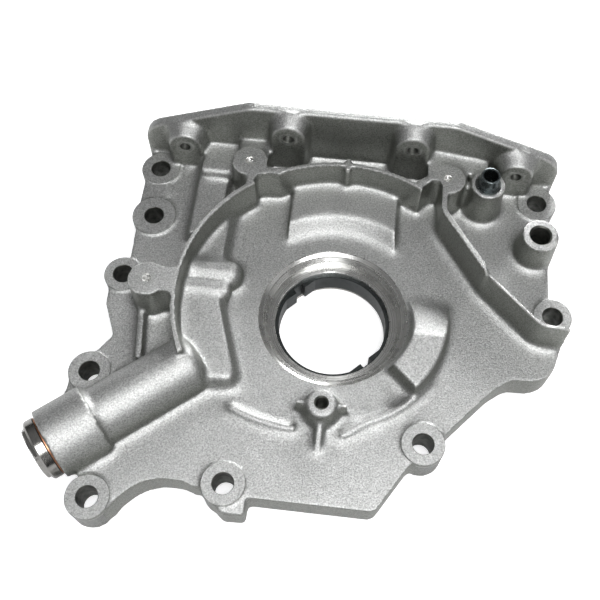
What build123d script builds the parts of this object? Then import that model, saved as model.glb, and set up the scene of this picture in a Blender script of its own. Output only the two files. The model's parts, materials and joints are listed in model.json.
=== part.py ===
from build123d import *
from math import cos, hypot, pi, radians, sin
import os

# Crank-driven gerotor oil pump built into an engine's front housing, in millimetres.
# z = 0 is the face that bolts to the engine block, +Z points out of the front, the
# crankshaft turns about the Z axis, and +Y points to the flange that carries the sump.

# Heights of the casting above the block face
FLOOR_Z = 16.0
BOSS_RISE = 1.0
WALL_TOP_Z = 36.0
LOW_WALL_TOP_Z = 34.0
TROUGH_Z = 21.6

# Bolt holes through the housing: two level pairs, four single ones and one spot-faced
BOLT_HOLE_R = 4.55
BOLT_BOSS_R = 9.4
TOP_PAIR_X = 92.8
TOP_PAIR_Y = 71.3
SIDE_PAIR_X = 99.3
SIDE_PAIR_Y = 10.5
SIDE_BOSS_R = 8.8
SINGLE_BOLTS = [(-92.5, -93.8), (-37.8, -82.1), (43.8, -55.9), (-104.0, -39.1)]
SPOT_BOLT = (-91.0, 43.8)
SPOT_FACE_R = 10.5

# Sump flange, a wall along X with four tapped bosses on its inner side
FLANGE_IN_Y = 83.3
FLANGE_T = 5.2
FLANGE_HALF = 101.0
FLANGE_TOP_HALF = 48.0
FLANGE_TOP_Z = 53.5
FLANGE_END_Z = 33.0
SUMP_INNER_X = 29.1
SUMP_INNER_Z = 44.0
SUMP_OUTER_X = 79.6
SUMP_OUTER_Z = 31.0
SUMP_BOSS_R = 8.0
SUMP_BOSS_DEPTH = 8.0
SUMP_TAP_R = 2.5

# Edge of the plate, as corners with their radii, and the scallop in its lower edge
PLATE_CORNERS = [
    (-99.5, FLANGE_IN_Y + FLANGE_T, 2),
    (-98.2, 18.0, 3),
    (-105.0, 6.0, 5),
    (-104.5, -4.5, 6),
    (-97.6, -20.5, 2.5),
    (-112.0, -41.0, 3),
    (-113.3, -54.0, 3),
    (-99.5, -84.0, 3),
    (-89.0, -97.0, 2),
    (-82.0, -97.5, 1.5),
    (-46.5, -83.5, 2),
    (-39.0, -92.5, 3),
    (-36.5, -94.4, 2),
    (-27.3, -94.0, 2),
    (-27.5, -86.6, 0.8),
    (25.5, -86.6, 5),
    (38.5, -65.5, 5),
    (46.0, -60.0, 3),
    (53.0, -50.5, 4),
    (72.5, -28.5, 14),
    (80.5, -22.2, 9),
    (98.0, -21.3, 12),
    (103.0, -4.0, 8),
    (103.0, 5.0, 4),
    (98.2, 19.0, 3),
    (98.2, 36.0, 6),
    (99.5, 44.0, 6),
    (99.5, FLANGE_IN_Y + FLANGE_T, 2),
]
SCALLOP_R = 25.0
SCALLOP_AT = (-60.0, -107.4)

# Thin wall round the crank, and its straight run to the right-hand edge
WALL_R = 69.2
WALL_T = 2.4
WALL_START = 58.0
WALL_END = 208.0
RUN_LINE = [(44.6, 66.0), (44.8, 49.5), (66.6, 17.2), (89.5, -4.6), (102.4, -5.4)]
RUN_RADII = [6, 30, 12]
RUN_T = 2.8
RUN_STEP_X = 66.0
RUN_LEAN = 4.5
RECESS_CORNERS = [(35.0, 50, 0), (35.4, 61.3, 0.8), (40.8, 66.4, 1.6), (44.6, 66.4, 1.6), (44.6, 50, 0)]
RECESS_BACK_CORNERS = [(33.0, 61.6, 0), (38.0, 61.8, 0), (44.0, 66.0, 0), (42.0, 71.0, 0), (33.0, 65.4, 0)]
JOG_CORNERS = [(-40.5, 52.0, 0), (-43.4, 57.0, 0.8), (-41.8, 60.3, 1), (-34.6, 61.3, 4), (-28.0, 60.5, 0),
               (-30.0, 52.0, 0)]
JOG_BACK_CORNERS = [(-44.2, 53.7, 0), (-46.8, 54.4, 0), (-46.6, 62.0, 0), (-42.0, 64.0, 0), (-30.0, 66.0, 0),
                    (-30.0, 62.0, 0)]

# Pads level with the top of the thin wall, each with a drill point
PAD_R = 8.5
PADS = [(-46.6, 67.7), (47.0, 67.7), (-82.9, -0.3)]
PAD_DIMPLE_R = 3.6
PAD_DIMPLE_DEPTH = 2.4

# Oil gallery: ridges beside the thin wall, a tongue to the valve, and two round bars across the floor
OUTER_RIDGE = (-74.5, 30.0, -54.5)
RIDGE_CORNERS = [(-80, 12, 0), (-49.3, 12, 5), (-49.3, 66, 0), (-80, 66, 0)]
TONGUE_CORNERS = [(-84, 12, 0), (-49.3, 12, 0), (-47.6, -3.0, 6), (-41.0, -22.0, 8), (-37.0, -34.0, 6),
                  (-36.6, -42.0, 6.5), (-52.5, -42.0, 6), (-84, -22, 0)]
WIDE_BAR = (14.2, FLOOR_Z + 2.5, 6.8, 26.5)
NARROW_BAR = (4.8, FLOOR_Z + 4.4, 4.2, 23.0)

# Two drilled bosses on the right
SLEEVE_BOSS_AT = (65.8, 66.5)
SLEEVE_BOSS_R = 8.0
SLEEVE_BOSS_TOP = 36.0
SLEEVE_R = 4.5
SLEEVE_BORE_R = 3.4
SLEEVE_DEPTH = 9.0
SLEEVE_RISE = 7.0
FEED_BOSS_AT = (90.8, 43.9)
FEED_BOSS_R = 8.4
FEED_BOSS_TOP = 32.0
FEED_BORE_R = 4.6
FEED_BORE_DEPTH = 24.0

# Tapped boss below the crank, with its two wings and its gusset
SENSOR_BOSS_AT = (-0.7, -46.0)
SENSOR_BOSS_R = 6.3
SENSOR_BOSS_TOP = 27.0
SENSOR_TAP_R = 2.5
SENSOR_TAP_DEPTH = 15.0

# The crank's bore through the inner rotor, with two driving flats
DRIVE_R = 24.8
DRIVE_FLAT = DRIVE_R - 1.6
DRIVE_NOTCH_W = 5.0
DRIVE_NOTCH_DEEP = 2.2
DRIVE_AZ = 135.0

# Crank seal bore, and the web between it and the pump chamber
SEAL_R = DRIVE_R + 5.2
SEAL_DEPTH = 6.5
SEAL_LEAD_R = SEAL_R + 4.0
SEAL_LEAD_DEPTH = 2.0
WEB_R = DRIVE_R + 1.7
WEB_T = 2.5

# Rotor set: an inner rotor with ten teeth inside an outer rotor with eleven lobes. Its form is
# stated as shares of the offset between the two axes, so that all of it follows the crank's bore.
TEETH = 10
LOBES = TEETH + 1
HUB_T = 5.2
LOBE_CIRCLE_SHARE = 12.8125
LOBE_SHARE = 2.4375
OFFSET = (DRIVE_R + HUB_T) / (LOBE_CIRCLE_SHARE - LOBE_SHARE - 1)
OFFSET_AZ = 150.0
LOBE_CIRCLE_R = LOBE_CIRCLE_SHARE * OFFSET
LOBE_R = LOBE_SHARE * OFFSET
RING_T = 4.0
ROTOR_T = 10.0
ROTOR_OD_R = LOBE_CIRCLE_R + RING_T
TIP_GAP = 0.16
PROFILE_STEPS = 24
SIDE_GAP = 0.05
RIM_GAP = 0.10

# Kidney ports in the chamber's floor
PORT_IN_R = LOBE_CIRCLE_R - LOBE_R - 0.2
PORT_OUT_R = LOBE_CIRCLE_R + 0.5
PORT_DEPTH = 5.5
CHANNEL_CORNERS = [(-72.5, 74, 5), (-61.8, 74, 5), (-61.8, -22, 4), (-57.5, -27, 2), (-57.5, -35, 2),
                   (-64.0, -35, 2), (-72.5, -28, 3)]

# Pockets in the block face
REAR_SKIN_T = 6.0
REAR_POCKETS = [
    [(-22, -80, 4), (21, -80, 4), (30, -66, 4), (20, -62, 4), (-4, -66, 12), (-22, -63, 4)],
    [(60, -30, 4), (76, -16, 5), (92, -14, 5), (92, 0, 5), (68, 12, 5), (64, -8, 10)],
    [(66, 22, 4), (86, 20, 4), (84, 34, 4), (78, 56, 4), (66, 54, 4), (58, 38, 6)],
    [(-92, 21, 3), (-78, 21, 3), (-78, 36, 3), (-84, 30, 3), (-92, 30, 3)],
]

# Boss and cover plate behind the block face
COVER_T = 3.5
COVER_LEDGE = 1.0
COVER_HOLE_R = DRIVE_R + 1.2
SCREW_CIRCLE_R = ROTOR_OD_R + 6.2
COVER_R = SCREW_CIRCLE_R + 5.8
SCREW_COUNT = 8
SCREW_R = 2.5
SCREW_HEAD_R = 4.4
SCREW_HEAD_T = 2.2
SCREW_LENGTH = 12.0
SCREW_GAP = 0.05

# Relief valve: a tube across the corner of the housing
TUBE_AZ = 39.5
TUBE_OFFSET = 13.8
TUBE_Z = 19.0
TUBE_R = 13.1
TUBE_END_R = 15.7
TUBE_MOUTH = -134.0
TUBE_STEP = -112.6
TUBE_INNER = -62.5
TUBE_INNER_ROUND = 6.0
PISTON_R = 8.5
PISTON_GAP = 0.04
PISTON_LENGTH = 22.0
PISTON_WALL = 1.6
PISTON_HEAD = 5.0
PISTON_SEAT = -72.0
PISTON_STROKE = 8.0
SEAT_R = 6.2
SEAT_LENGTH = 6.0
FEED_PORT_R = 2.8
SPILL_LENGTH = 5.0
SPILL_WIDTH = 7.0
VENT_R = 2.0
SPRING_WIRE_R = 0.9
SPRING_TURNS = 6
SPRING_GAP = 0.25
PLUG_THREAD_R = 11.0
PLUG_THREAD_LENGTH = 14.0
PLUG_COLLAR_R = 13.7
PLUG_COLLAR_T = 3.4
PLUG_HEX = 22.0
PLUG_HEX_T = 2.6
PLUG_POCKET_DEEP = 9.0
WASHER_T = 1.2
THREAD_GAP = 0.05


# General helpers

def polar(radius, azimuth):
    return (radius * cos(radians(azimuth)), radius * sin(radians(azimuth)))


def disc(radius, at=(0, 0)):
    return Pos(at[0], at[1]) * Circle(radius)


def rounded(points):
    """Closed outline through corners given as (x, y, corner radius)."""
    turning = sum(a[0] * b[1] - b[0] * a[1] for a, b in zip(points, points[1:] + points[:1]))
    if turning < 0:  # a face that turns the other way would be extruded downwards
        points = points[::-1]
    corners = [(x, y) for x, y, _ in points]
    radii = [r for _, _, r in points]
    return make_face(FilletPolyline(*corners, radius=radii, close=True))


def rectangle(x0, y0, x1, y1):
    return Pos((x0 + x1) / 2, (y0 + y1) / 2) * Rectangle(x1 - x0, y1 - y0)


def ring_sector(r_in, r_out, az_from, az_to):
    """Part of a flat ring between two azimuths."""
    steps = max(2, int((az_to - az_from) / 45) + 1)
    far = r_out * 1.6
    pie = [polar(far, az_from + (az_to - az_from) * i / steps) for i in range(steps + 1)]
    ring = Circle(r_out) - Circle(r_in)
    return ring & make_face(Polyline((0, 0), *pie, close=True))


def stand(sketch, z0, z1, taper=0.0):
    return Pos(0, 0, z0) * extrude(sketch, z1 - z0, taper=taper)


def plane_along(azimuth, offset, z, at):
    """Plane across the relief valve's axis, at a distance along it; its normal runs inwards."""
    along = Vector(cos(radians(azimuth)), sin(radians(azimuth)), 0)
    across = Vector(-sin(radians(azimuth)), cos(radians(azimuth)), 0)
    origin = along * at + across * offset + Vector(0, 0, z)
    return Plane(origin=origin, x_dir=across, z_dir=along)


def valve_point(at):
    """Place on the relief valve's axis, seen from the front."""
    origin = plane_along(TUBE_AZ, TUBE_OFFSET, TUBE_Z, at).origin
    return (origin.X, origin.Y)


def valve_disc(radius, start, end):
    """Round bar on the relief valve's axis between two distances along it."""
    low, high = min(start, end), max(start, end)
    return extrude(plane_along(TUBE_AZ, TUBE_OFFSET, TUBE_Z, low) * Circle(radius), high - low)


# Housing

def plate_outline():
    edge = rounded(PLATE_CORNERS)
    for at in bolt_places():
        edge += disc(boss_radius(at), at)
    edge += disc(FEED_BOSS_R + 0.8, FEED_BOSS_AT)
    return edge - disc(SCALLOP_R, SCALLOP_AT)


def bolt_places():
    top = [(-TOP_PAIR_X, TOP_PAIR_Y), (TOP_PAIR_X, TOP_PAIR_Y)]
    side = [(-SIDE_PAIR_X, SIDE_PAIR_Y), (SIDE_PAIR_X, SIDE_PAIR_Y)]
    return top + side + SINGLE_BOLTS + [SPOT_BOLT]


def boss_radius(at):
    if abs(at[1] - SIDE_PAIR_Y) < 0.01:
        return SIDE_BOSS_R
    return SPOT_FACE_R if at == SPOT_BOLT else BOLT_BOSS_R


def flange():
    plane = Plane(origin=(0, FLANGE_IN_Y + FLANGE_T, 0), x_dir=(1, 0, 0), z_dir=(0, -1, 0))
    profile = rounded([
        (-FLANGE_HALF, 0, 0), (-FLANGE_HALF, FLANGE_END_Z, 13), (-FLANGE_TOP_HALF, FLANGE_TOP_Z, 14),
        (FLANGE_TOP_HALF, FLANGE_TOP_Z, 14), (FLANGE_HALF, FLANGE_END_Z, 13), (FLANGE_HALF, 0, 0),
    ])
    return extrude(plane * profile, FLANGE_T)


def sump_boss(x, z):
    """Tombstone on the flange's inner side that tapers towards its tapped front face."""
    plane = Plane(origin=(0, FLANGE_IN_Y + 0.2, 0), x_dir=(1, 0, 0), z_dir=(0, -1, 0))
    spread = 2.2
    foot = disc(SUMP_BOSS_R + spread, (x, z)) + rectangle(
        x - SUMP_BOSS_R - spread, 2, x + SUMP_BOSS_R + spread, z)
    return extrude(plane * foot, SUMP_BOSS_DEPTH, taper=17)


def wall_line():
    return FilletPolyline(*RUN_LINE, radius=RUN_RADII)


def wall_plan():
    """Thin wall seen from the front: an arc round the crank, a pocket and a bent run."""
    arc = ring_sector(WALL_R, WALL_R + WALL_T, WALL_START, WALL_END)
    run = make_face(offset(wall_line(), amount=RUN_T, side=Side.LEFT, closed=True))
    return arc + run


def low_run():
    """The far end of the run is cut lower, and its inner face leans back."""
    inside = make_face(offset(wall_line(), amount=RUN_T, side=Side.RIGHT, closed=True))
    lean = stand(inside, FLOOR_Z, WALL_TOP_Z + 1, taper=-RUN_LEAN)
    far = stand(rectangle(RUN_STEP_X, -20, 120, 40), FLOOR_Z, WALL_TOP_Z + 1)
    return (lean & far) + stand(rectangle(RUN_STEP_X, -20, 120, 40), LOW_WALL_TOP_Z, WALL_TOP_Z + 1)


def wall_notches():
    """Recess beside the right-hand pad, and the small jog in the wall before the left-hand one."""
    recess = stand(rounded(RECESS_CORNERS), FLOOR_Z, WALL_TOP_Z + 1)
    return recess + stand(rounded(JOG_CORNERS), FLOOR_Z, WALL_TOP_Z + 1)


def notch_backs():
    """Metal behind the recess and the jog."""
    backs = rounded(RECESS_BACK_CORNERS) + rounded(JOG_BACK_CORNERS)
    return stand(backs, FLOOR_Z - 1, WALL_TOP_Z)


def slope_along_x(x0, x1, y0, z0, z1):
    """Block against the flange whose top runs from one height to another along X."""
    back = FLANGE_IN_Y + 0.2
    low = FLOOR_Z - 1
    side = Plane(origin=(0, back, 0), x_dir=(1, 0, 0), z_dir=(0, -1, 0))
    face = make_face(Polyline((x0, low), (x0, z0), (x1, z1), (x1, low), close=True))
    return extrude(side * face, back - y0)


def slope_along_y(x0, x1, y0, z0, z1):
    """Block against the flange whose top runs from one height to another along Y."""
    back = FLANGE_IN_Y + 0.2
    low = FLOOR_Z - 1
    side = Plane(origin=(x0, 0, 0), x_dir=(0, 1, 0), z_dir=(1, 0, 0))
    face = make_face(Polyline((y0, low), (y0, z0), (back, z1), (back, low), close=True))
    return extrude(side * face, x1 - x0)


def trough():
    """Raised floor between the thin wall and the flange, and the webs behind two pads."""
    outside = stand(disc(WALL_R + 1), 0, 80)
    solid = slope_along_x(-40, 40, 45, TROUGH_Z, TROUGH_Z) - outside
    solid += slope_along_y(-53.5, -38, 66, WALL_TOP_Z, WALL_TOP_Z - 4.5)
    plateau = slope_along_y(-70.5, -50, 65, TROUGH_Z + 5, TROUGH_Z + 4.5) - outside
    solid += fillet(plateau.edges().filter_by(Axis.X).group_by(Axis.Z)[-1].sort_by(Axis.Y)[0], 3)
    solid += slope_along_x(37.5, 66.5, 65.2, WALL_TOP_Z + 0.2, WALL_TOP_Z - 4.6) - outside
    solid -= stand(Pos(57.3, 70.8) * Rot(0, 0, 90) * SlotOverall(6.5, 2.2), FLOOR_Z + 9, WALL_TOP_Z + 1)
    return solid + stand(rectangle(-1.4, WALL_R - 2.6, 1.4, WALL_R + 4.8), FLOOR_Z, WALL_TOP_Z)


def bolt_bosses():
    solid = None
    for at in bolt_places():
        ring = stand(disc(boss_radius(at) - 0.05, at), 0, FLOOR_Z + BOSS_RISE)
        solid = ring if solid is None else solid + ring
    return solid


def drilled_boss(at, radius, top):
    """Tall round boss with a little draft."""
    height = top - FLOOR_Z + 1
    return Pos(at[0], at[1], FLOOR_Z - 1) * Cone(
        radius + height * 0.06, radius, height, align=(Align.CENTER, Align.CENTER, Align.MIN))


def sensor_boss():
    """Tapped boss with two thin wings and a sloping gusset."""
    x, y = SENSOR_BOSS_AT
    low = FLOOR_Z - 1
    height = SENSOR_BOSS_TOP - low
    solid = Pos(x, y, low) * Cone(
        SENSOR_BOSS_R + 2.2, SENSOR_BOSS_R, height, align=(Align.CENTER, Align.CENTER, Align.MIN))
    wings = Pos(x, y) * Rectangle(23.0, 2.4)
    solid += stand(wings, low, SENSOR_BOSS_TOP - 1.2, taper=3)
    side = Plane(origin=(x - 1.5, y, 0), x_dir=(0, 1, 0), z_dir=(1, 0, 0))
    web = make_face(Polyline((0, low), (-19.5, low), (-18.5, FLOOR_Z + 0.6), (-4, SENSOR_BOSS_TOP - 3),
                             (0, SENSOR_BOSS_TOP - 3), close=True))
    return solid + extrude(side * web, 3.0)


def beads():
    """Two low ribs on the floor, either side of the tapped boss."""
    left = ThreePointArc((-40.5, -48.4), (-26.0, -53.4), (-10.8, -55.4))
    meet = polar(52.6, -67.0)
    right = Spline((8.8, -56.2), (13.5, -53.4), meet, tangents=[(1, 0.35), (1, 0.45)]) + CenterArc(
        (0, 0), 52.6, -67.0, 36.0)
    solid = stand(trace(left, 3.0), FLOOR_Z - 1, FLOOR_Z + 2.2)
    bulb = rounded([(7.2, -59.0, 2.5), (4.0, -53.0, 2), (7.0, -48.5, 2), (13.0, -47.6, 2), (20.5, -50.0, 0),
                    (14.5, -54.0, 2)])
    solid += stand(trace(right, 3.0), FLOOR_Z - 1, FLOOR_Z + 2.2)
    return solid + stand(bulb, FLOOR_Z - 1, FLOOR_Z + 1.2)


def top_pad():
    """Raised pad against the thin wall, with a conical slope down to the floor."""
    low = FLOOR_Z - 1
    top = FLOOR_Z + 6
    cone = Plane.XZ * make_face(Polyline(
        (42.3, low), (50.7, top), (WALL_R + 1, top), (WALL_R + 1, low), close=True))
    return revolve(cone, Axis.Z) & stand(rectangle(-25.7, 20, 25.9, 70), low, top, taper=4)


def side_pad():
    """Ring-shaped pad on the right, with a ramp at its upper end."""
    low = FLOOR_Z - 1
    top = FLOOR_Z + 8.5
    block = stand(ring_sector(35.0, 53.2, -43, 20), low, top, taper=11)
    side = Plane(origin=(20, 0, 0), x_dir=(0, 1, 0), z_dir=(1, 0, 0))
    ramp = make_face(Polyline((-60, low), (-60, top + 1), (-8.7, top + 1), (-8.7, top), (11.9, FLOOR_Z),
                              (11.9, low), close=True))
    return block & extrude(side * ramp, 50)


def cross_bar(y, z, radius, length):
    """Round bar across the floor from the thin wall, with a domed end."""
    bar = extrude(Plane(origin=(-70.0, y, z), x_dir=(0, 1, 0), z_dir=(1, 0, 0)) * Circle(radius), length)
    return fillet(bar.faces().sort_by(Axis.X)[-1].edges(), radius * 0.8)


def gallery():
    """Oil gallery ridges: along the left edge, two cross bars, and a tongue to the valve tube."""
    low = FLOOR_Z - 1
    inside = stand(disc(WALL_R + 1), 0, 60)
    outer = stand(rectangle(*OUTER_RIDGE, FLANGE_IN_Y + 0.2), low, TROUGH_Z + 1, taper=22) - inside
    edge = rounded(RIDGE_CORNERS)
    inner = stand(edge, low, FLOOR_Z + 6.5, taper=30) & inside
    tongue = stand(rounded(TONGUE_CORNERS), low, FLOOR_Z + 7, taper=24) & inside
    bars = cross_bar(*WIDE_BAR) + cross_bar(*NARROW_BAR)
    return outer + inner + tongue + (bars & inside)


def corner_ribs():
    """Slender rib from the left pad to the tube, the pad's web, and the strip between two bolts."""
    rib = rounded([(-88.3, -4, 0), (-85.3, -4, 0), (-81.5, -32, 0), (-84.5, -32, 0)])
    solid = stand(rib, FLOOR_Z - 1, FLOOR_Z + 5)
    solid += stand(rectangle(-82, -5.6, -69.5, 6.5), FLOOR_Z - 1, WALL_TOP_Z)
    solid += stand(rectangle(-99.3, 48, -87, 68), FLOOR_Z - 1, FLOOR_Z + 0.8)
    return solid


def valve_tube():
    tube = valve_disc(TUBE_R, TUBE_STEP - 1, TUBE_INNER)
    tube = fillet(tube.faces().sort_by(Axis.X)[-1].edges(), TUBE_INNER_ROUND)
    tube += valve_disc(TUBE_END_R, TUBE_MOUTH, TUBE_STEP)
    return tube


def housing_cuts():
    """Everything machined or cored out of the casting, as a list of solids."""
    top = FLANGE_TOP_Z + 20
    cuts = [stand(disc(BOLT_HOLE_R, at), -5, top) for at in bolt_places()]
    cuts += [pad_dimple(at) for at in PADS]
    cuts += [sump_tap(x, z) for x, z in sump_places()]
    cuts.append(stand(disc(SENSOR_TAP_R, SENSOR_BOSS_AT), SENSOR_BOSS_TOP - SENSOR_TAP_DEPTH, top))
    cuts.append(stand(disc(FEED_BORE_R, FEED_BOSS_AT), FEED_BOSS_TOP - FEED_BORE_DEPTH, top))
    cuts.append(mouth_cone(FEED_BOSS_AT, FEED_BORE_R, FEED_BOSS_TOP))
    cuts.append(stand(disc(SLEEVE_R, SLEEVE_BOSS_AT), SLEEVE_BOSS_TOP - SLEEVE_DEPTH, top))
    cuts.append(stand(disc(SLEEVE_BORE_R, SLEEVE_BOSS_AT), 6, top))
    cuts.append(mouth_cone(SLEEVE_BOSS_AT, SLEEVE_R, SLEEVE_BOSS_TOP))
    cuts += seal_and_chamber()
    cuts += oilways()
    cuts += valve_bores()
    return cuts


def pad_dimple(at):
    return Pos(at[0], at[1], WALL_TOP_Z - PAD_DIMPLE_DEPTH) * Cone(
        0.3, PAD_DIMPLE_R, PAD_DIMPLE_DEPTH, align=(Align.CENTER, Align.CENTER, Align.MIN))


def mouth_cone(at, radius, top):
    return Pos(at[0], at[1], top - 1.4) * Cone(
        radius, radius + 1.7, 1.4, align=(Align.CENTER, Align.CENTER, Align.MIN))


def sump_tap(x, z):
    plane = Plane(origin=(0, FLANGE_IN_Y + FLANGE_T + 1, 0), x_dir=(1, 0, 0), z_dir=(0, -1, 0))
    return extrude(plane * disc(SUMP_TAP_R, (x, z)), FLANGE_T + SUMP_BOSS_DEPTH + 4)


def chamber_at():
    return polar(OFFSET, OFFSET_AZ)


def seal_and_chamber():
    seat_z = FLOOR_Z - SEAL_DEPTH
    floor = seat_z - WEB_T
    lead = Pos(0, 0, FLOOR_Z - SEAL_LEAD_DEPTH) * Cone(
        SEAL_R, SEAL_LEAD_R, SEAL_LEAD_DEPTH, align=(Align.CENTER, Align.CENTER, Align.MIN))
    return [
        lead,
        stand(disc(SEAL_R), seat_z, FLOOR_Z + 1),
        stand(disc(WEB_R), floor - 1, seat_z + 1),
        stand(disc(ROTOR_OD_R + RIM_GAP, chamber_at()), floor - ROTOR_T - 2 * SIDE_GAP, floor),
    ]


def chamber_floor():
    return FLOOR_Z - SEAL_DEPTH - WEB_T


def cover_face():
    return chamber_floor() - ROTOR_T - 2 * SIDE_GAP


def oilways():
    """Kidney ports in the chamber's floor and the cored ways to and from them."""
    floor = chamber_floor()
    depth = floor + PORT_DEPTH
    inlet_az = OFFSET_AZ - 90
    outlet_az = OFFSET_AZ + 90
    inlet = stand(ring_sector(PORT_IN_R, PORT_OUT_R, inlet_az - 62, inlet_az + 58), floor - 1, depth)
    outlet = stand(ring_sector(PORT_IN_R, PORT_OUT_R, outlet_az - 58, outlet_az + 62), floor - 1, depth)
    way = PORT_IN_R + 3
    inlet_way = stand(rounded([(-14, way, 2), (20, way, 2), (20, 64, 5), (-14, 64, 5)]), floor, depth)
    inlet_mouth = stand(rounded([(-16, 61.5, 5), (22, 61.5, 5), (22, 77, 5), (-16, 77, 5)]), -1, TROUGH_Z - 5)
    outlet_way = stand(rounded([(-66, 1, 3), (-way, 1, 3), (-way, 15, 3), (-66, 15, 3)]), floor, depth)
    channel = stand(rounded(CHANNEL_CORNERS), -1, depth)
    return [inlet, outlet, inlet_way, inlet_mouth, outlet_way, channel]


def valve_bores():
    thread_end = TUBE_MOUTH + PLUG_THREAD_LENGTH + 1
    feed = disc(FEED_PORT_R, valve_point(PISTON_SEAT + SEAT_LENGTH / 2))
    spill_at = valve_point(PISTON_SEAT - PISTON_STROKE + SPILL_LENGTH / 2)
    spill = Pos(*spill_at) * Rot(0, 0, TUBE_AZ) * Rectangle(SPILL_LENGTH, SPILL_WIDTH)
    vent = disc(VENT_R, valve_point((thread_end + PISTON_SEAT - PISTON_LENGTH) / 2))
    return [
        valve_disc(PLUG_THREAD_R + THREAD_GAP, TUBE_MOUTH - 1, thread_end),
        valve_disc(PISTON_R, thread_end - 1, PISTON_SEAT),
        valve_disc(SEAT_R, PISTON_SEAT - 1, PISTON_SEAT + SEAT_LENGTH),
        stand(feed, chamber_floor(), TUBE_Z),
        stand(spill, -1, TUBE_Z),
        stand(vent, -1, TUBE_Z),
    ]


def rear_pockets():
    """Weight-saving pockets in the block face, between the bolts and the pump chamber."""
    return [stand(rounded(points), -1, FLOOR_Z - REAR_SKIN_T) for points in REAR_POCKETS]


def cover_boss():
    return stand(disc(COVER_R + COVER_LEDGE, chamber_at()), cover_face(), 1)


def cover_screw_places():
    cx, cy = chamber_at()
    turn = 360 / SCREW_COUNT
    spots = [polar(SCREW_CIRCLE_R, OFFSET_AZ + turn * (i + 0.5)) for i in range(SCREW_COUNT)]
    return [(cx + x, cy + y) for x, y in spots]


def housing():
    body = stand(plate_outline(), 0, FLOOR_Z)
    body += flange()
    body += stand(wall_plan(), FLOOR_Z - 1, WALL_TOP_Z)
    body -= low_run()
    body += notch_backs() + trough() + gallery() + corner_ribs() + bolt_bosses() + valve_tube()
    body += drilled_boss(SLEEVE_BOSS_AT, SLEEVE_BOSS_R, SLEEVE_BOSS_TOP)
    body += drilled_boss(FEED_BOSS_AT, FEED_BOSS_R, FEED_BOSS_TOP)
    for at in PADS:
        body += stand(disc(PAD_R, at), FLOOR_Z - 1, WALL_TOP_Z)
    for x, z in sump_places():
        body += sump_boss(x, z)
    body += sensor_boss() + beads() + top_pad() + side_pad() + cover_boss()
    body -= wall_notches()
    for cut in rear_pockets() + housing_cuts():
        body -= cut
    hole_top = cover_face() + SCREW_LENGTH - COVER_T + 1
    for at in cover_screw_places():
        body -= stand(disc(SCREW_R + SCREW_GAP, at), cover_face() - 1, hole_top)
    return body


def sump_places():
    return [(side * x, z) for x, z in ((SUMP_INNER_X, SUMP_INNER_Z), (SUMP_OUTER_X, SUMP_OUTER_Z))
            for side in (-1, 1)]


# Rotor set

def inner_profile():
    """Path of a lobe's centre seen from the inner rotor, set in by the lobe radius."""
    count = TEETH * PROFILE_STEPS
    gap = LOBE_R + TIP_GAP / 2
    points = []
    for i in range(count):
        s = 2 * pi * i / count
        path = (LOBE_CIRCLE_R * cos(s) + OFFSET * cos(LOBES * s),
                LOBE_CIRCLE_R * sin(s) + OFFSET * sin(LOBES * s))
        slope = (LOBE_CIRCLE_R * cos(s) + OFFSET * LOBES * cos(LOBES * s),
                 LOBE_CIRCLE_R * sin(s) + OFFSET * LOBES * sin(LOBES * s))
        size = hypot(*slope)
        points.append((path[0] - gap * slope[0] / size, path[1] - gap * slope[1] / size))
    arcs = [ThreePointArc(points[i], points[i + 1], points[(i + 2) % count]) for i in range(0, count, 2)]
    return Rot(0, 0, OFFSET_AZ) * make_face(Wire(arcs))


def drive_bore():
    """Crank bore with two driving flats, each with a notch in its middle."""
    bore = Circle(DRIVE_R) & Rectangle(2 * DRIVE_FLAT, 4 * DRIVE_R)
    deep = 2 * (DRIVE_FLAT + DRIVE_NOTCH_DEEP)
    return Rot(0, 0, DRIVE_AZ) * (bore + Rectangle(deep, DRIVE_NOTCH_W))


def rotor_z():
    return cover_face() + SIDE_GAP


def inner_rotor():
    return stand(inner_profile() - drive_bore(), rotor_z(), rotor_z() + ROTOR_T)


def outer_rotor():
    """Ring whose inside is a circle broken by round lobes."""
    valley = LOBE_CIRCLE_R + 2 * OFFSET - LOBE_R + TIP_GAP
    inside = Circle(valley)
    for i in range(LOBES):
        inside -= disc(LOBE_R - TIP_GAP / 2, polar(LOBE_CIRCLE_R, OFFSET_AZ + 360 * i / LOBES))
    ring = Circle(ROTOR_OD_R) - inside
    return Pos(*chamber_at(), 0) * stand(ring, rotor_z(), rotor_z() + ROTOR_T)


# Cover plate and its screws

def rotor_cover():
    plate = stand(disc(COVER_R, chamber_at()), cover_face() - COVER_T, cover_face())
    plate -= stand(disc(COVER_HOLE_R), cover_face() - COVER_T - 1, cover_face() + 1)
    for x, y in cover_screw_places():
        plate -= stand(disc(SCREW_R + 0.25, (x, y)), cover_face() - COVER_T - 1, cover_face() + 1)
        plate -= countersink(x, y, SCREW_HEAD_R + 0.1)
    return plate


def countersink(x, y, radius):
    return Pos(x, y, cover_face() - COVER_T) * Cone(
        radius, SCREW_R, SCREW_HEAD_T, align=(Align.CENTER, Align.CENTER, Align.MIN))


def cover_screws():
    screws = []
    for x, y in cover_screw_places():
        low = cover_face() - COVER_T
        screw = countersink(x, y, SCREW_HEAD_R - 0.1)
        screw += stand(disc(SCREW_R, (x, y)), low + 1, low + SCREW_LENGTH)
        socket = Pos(x, y) * RegularPolygon(1.75, 6, major_radius=False)
        screws.append(screw - stand(socket, low - 1, low + 1.8))
    return Compound(screws)


# Hollow sleeve in the tall boss

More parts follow.
